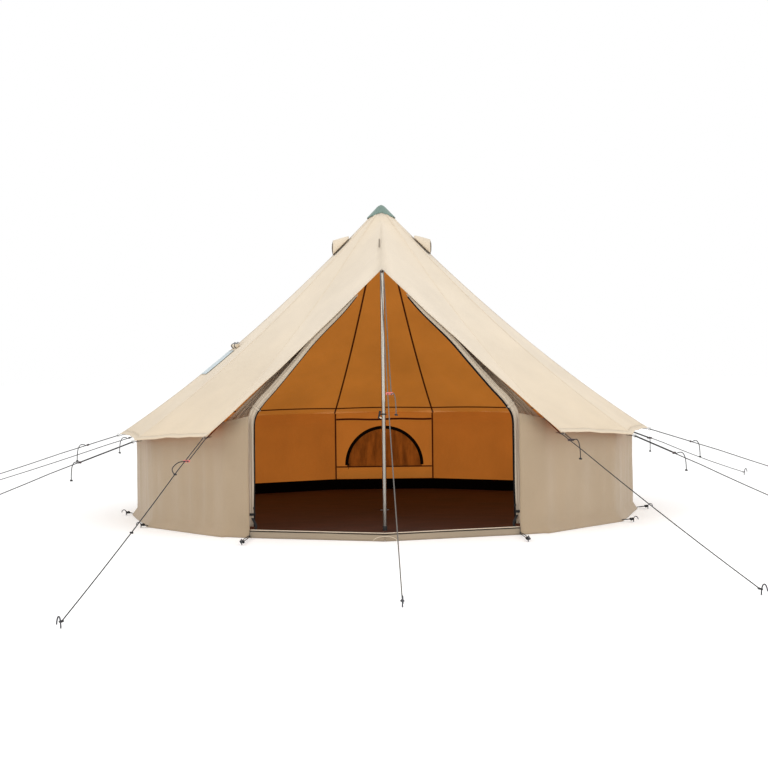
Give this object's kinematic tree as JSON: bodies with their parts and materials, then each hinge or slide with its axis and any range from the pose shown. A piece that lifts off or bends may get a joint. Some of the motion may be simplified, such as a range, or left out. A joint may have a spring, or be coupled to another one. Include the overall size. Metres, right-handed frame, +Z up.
{
  "type": "bell tent",
  "caption": "Round canvas tent on a centre pole and a door pole, with tied-back doors, low walls, a tub floor and guy ropes.",
  "frame": {"origin": "centre of the groundsheet's underside, at ground level", "axes": "+Z up; the doorway faces -Y; +X is to the right of a person looking in through the doorway"},
  "size_m": [10.3165, 10.9937, 3.052],
  "materials": {
    "canvas_roof": "cotton canvas",
    "canvas_wall": "cotton canvas",
    "cap_cloth": "coated cloth",
    "steel_bright": "galvanised",
    "steel_grey": "galvanised",
    "groundsheet": "woven coated sheet",
    "rope": "braided cord",
    "runner": "moulded",
    "zip_black": "moulded",
    "lining": "cotton canvas",
    "stove_patch": "coated heat-proof cloth"
  },
  "bodies": {
    "tent": {"canopy_front_left": "canvas_roof", "canopy_front_right": "canvas_roof", "canopy_left": "canvas_roof", "canopy_right": "canvas_roof", "canopy_back": "canvas_roof", "apex_cap": "cap_cloth", "vent_hood_left": "canvas_roof", "vent_hood_right": "canvas_roof", "centre_pole": "steel_grey", "door_pole": "steel_bright", "wall_left": "canvas_wall", "wall_right": "canvas_wall", "wall_back": "canvas_wall", "groundsheet": "groundsheet", "door_left": "canvas_roof", "door_right": "canvas_roof", "rear_window_cover": "lining", "stove_jack": "stove_patch", "guy_rope_front_left": "rope", "guy_rope_front_right": "rope", "guy_rope_left_1": "rope", "guy_rope_right_1": "rope", "guy_rope_left_2": "rope", "guy_rope_right_2": "rope", "guy_rope_left_3": "rope", "guy_rope_right_3": "rope", "guy_rope_left_4": "rope", "guy_rope_right_4": "rope", "guy_rope_rear_left": "rope", "guy_rope_rear_right": "rope", "guy_rope_front": "rope", "peg_front_left": "steel_grey", "peg_front_right": "steel_grey", "peg_left_1": "steel_grey", "peg_right_1": "steel_grey", "peg_left_2": "steel_grey", "peg_right_2": "steel_grey", "peg_left_3": "steel_grey", "peg_right_3": "steel_grey", "peg_left_4": "steel_grey", "peg_right_4": "steel_grey", "peg_rear_left": "steel_grey", "peg_rear_right": "steel_grey", "peg_front": "steel_grey"},
    "runner_front_left": {"runner_front_left": "runner"},
    "runner_front_right": {"runner_front_right": "runner"},
    "runner_left_1": {"runner_left_1": "runner"},
    "runner_right_1": {"runner_right_1": "runner"},
    "runner_left_2": {"runner_left_2": "runner"},
    "runner_right_2": {"runner_right_2": "runner"},
    "runner_left_3": {"runner_left_3": "runner"},
    "runner_right_3": {"runner_right_3": "runner"},
    "runner_left_4": {"runner_left_4": "runner"},
    "runner_right_4": {"runner_right_4": "runner"},
    "runner_rear_left": {"runner_rear_left": "runner"},
    "runner_rear_right": {"runner_rear_right": "runner"},
    "runner_front": {"runner_front": "runner"},
    "door_zip_slider_left": {"door_zip_slider_left": "zip_black"},
    "door_zip_slider_right": {"door_zip_slider_right": "zip_black"},
    "window_zip_slider": {"window_zip_slider": "zip_black"}
  },
  "joints": [
    {"name": "runner_front_left_slide", "type": "slide", "parent": "tent", "child": "runner_front_left", "axis": [-0.0876, -0.977, -0.1944], "range_m": [-0.22, 0]},
    {"name": "runner_front_right_slide", "type": "slide", "parent": "tent", "child": "runner_front_right", "axis": [0.2529, -0.9378, -0.2378], "range_m": [-0.11, 0]},
    {"name": "runner_left_1_slide", "type": "slide", "parent": "tent", "child": "runner_left_1", "axis": [-0.8307, -0.4622, -0.3103], "range_m": [-0.22, 0]},
    {"name": "runner_right_1_slide", "type": "slide", "parent": "tent", "child": "runner_right_1", "axis": [0.7748, -0.5249, -0.3525], "range_m": [-0.22, 0]},
    {"name": "runner_left_2_slide", "type": "slide", "parent": "tent", "child": "runner_left_2", "axis": [-0.956, 0.0568, -0.2879], "range_m": [-0.22, 0]},
    {"name": "runner_right_2_slide", "type": "slide", "parent": "tent", "child": "runner_right_2", "axis": [0.9509, -0.0727, -0.3009], "range_m": [-0.22, 0]},
    {"name": "runner_left_3_slide", "type": "slide", "parent": "tent", "child": "runner_left_3", "axis": [-0.9565, 0.0466, -0.288], "range_m": [-0.22, 0]},
    {"name": "runner_right_3_slide", "type": "slide", "parent": "tent", "child": "runner_right_3", "axis": [0.5912, 0.7761, -0.2193], "range_m": [-0.22, 0]},
    {"name": "runner_left_4_slide", "type": "slide", "parent": "tent", "child": "runner_left_4", "axis": [-0.5936, 0.7119, -0.3752], "range_m": [-0.22, 0]},
    {"name": "runner_right_4_slide", "type": "slide", "parent": "tent", "child": "runner_right_4", "axis": [0.5936, 0.7119, -0.3752], "range_m": [-0.22, 0]},
    {"name": "runner_rear_left_slide", "type": "slide", "parent": "tent", "child": "runner_rear_left", "axis": [-0.2127, 0.904, -0.3708], "range_m": [-0.22, 0]},
    {"name": "runner_rear_right_slide", "type": "slide", "parent": "tent", "child": "runner_rear_right", "axis": [0.2127, 0.904, -0.3708], "range_m": [-0.22, 0]},
    {"name": "runner_front_slide", "type": "slide", "parent": "tent", "child": "runner_front", "axis": [0.0229, -0.87, -0.4926], "range_m": [-0.22, 0]},
    {"name": "door_zip_left_slide", "type": "slide", "parent": "tent", "child": "door_zip_slider_left", "axis": [0, 0, 1], "range_m": [-0.03, 0.6]},
    {"name": "door_zip_right_slide", "type": "slide", "parent": "tent", "child": "door_zip_slider_right", "axis": [0, 0, 1], "range_m": [-0.03, 0.6]},
    {"name": "window_zip_swing", "type": "hinge", "parent": "tent", "child": "window_zip_slider", "pos_m": [0, 2.37, 0.282], "axis": [0, 1, 0], "range_deg": [0, 180]}
  ]
}
